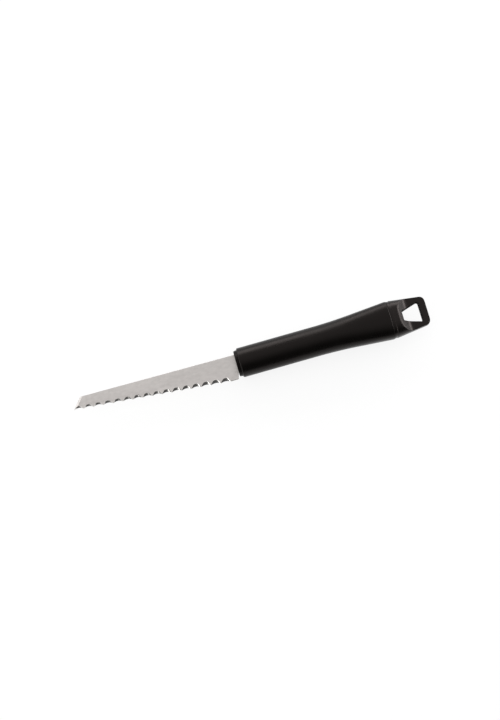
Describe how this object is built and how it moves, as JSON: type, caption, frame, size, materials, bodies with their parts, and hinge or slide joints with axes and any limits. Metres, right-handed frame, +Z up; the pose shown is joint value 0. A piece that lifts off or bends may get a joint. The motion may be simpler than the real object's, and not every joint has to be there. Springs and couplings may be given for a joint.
{
  "type": "lemon knife",
  "caption": "Small citrus knife: slanted steel blade with a scalloped edge, fixed in a black plastic handle with a round waist that widens to a scooped end with a hanging loop.",
  "frame": {"origin": "bottom centre of the bounding box, with the knife lying on its side on the straight underside of its sleeve", "axes": "+X from the blade tip to the hanging loop, +Y from the cutting edge to the spine, +Z up, out of the blade's ground face"},
  "size_m": [0.2198, 0.0232, 0.018],
  "materials": {
    "blade_steel": "satin stainless steel with a fine lengthwise grain",
    "black_plastic": "satin black moulding with a fine grain"
  },
  "bodies": {
    "root": {"blade": "blade_steel", "front_plug": "black_plastic", "handle_sleeve": "black_plastic", "end_cap": "black_plastic"}
  },
  "joints": []
}
